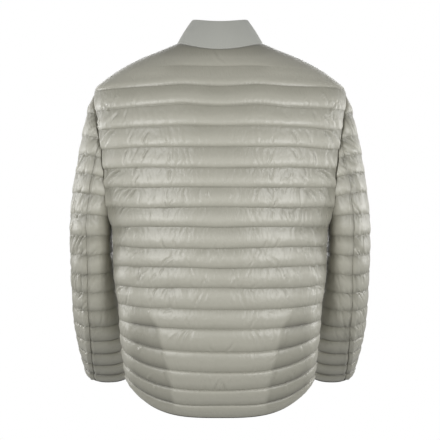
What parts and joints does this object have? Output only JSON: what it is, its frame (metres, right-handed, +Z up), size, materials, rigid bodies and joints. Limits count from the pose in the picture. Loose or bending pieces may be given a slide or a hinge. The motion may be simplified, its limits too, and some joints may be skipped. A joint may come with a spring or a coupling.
{
  "type": "puffer jacket",
  "caption": "Light quilted puffer jacket with a plain stand collar, curved hem and full-length front zip, filled out as worn with no wearer.",
  "frame": {"origin": "middle of the neck opening, level with the ends of the shoulder seams at the collar", "axes": "+Z up, +X to the wearer's left, the front faces -Y"},
  "size_m": [0.609, 0.3833, 0.7784],
  "materials": {
    "shell_nylon": "soft sheen",
    "collar_knit": "matte",
    "binding_tape": "matte",
    "zip_tape": "matte",
    "zip_metal": "satin"
  },
  "bodies": {
    "jacket": {"back": "shell_nylon", "front_left": "shell_nylon", "front_right": "shell_nylon", "upper_sleeve_left": "shell_nylon", "upper_sleeve_right": "shell_nylon", "under_sleeve_left": "shell_nylon", "under_sleeve_right": "shell_nylon", "collar": "collar_knit", "hem_binding": "binding_tape", "cuff_binding_left": "binding_tape", "cuff_binding_right": "binding_tape", "zip_left": "zip_tape", "zip_right": "zip_tape", "zip_slider": "zip_metal"},
    "pull": {"zip_pull": "zip_metal"}
  },
  "joints": [
    {"name": "pull_swing", "type": "hinge", "parent": "jacket", "child": "pull", "pos_m": [0, -0.06755, -0.03512], "axis": [-1, 0, 0], "range_deg": [0, 165]}
  ]
}
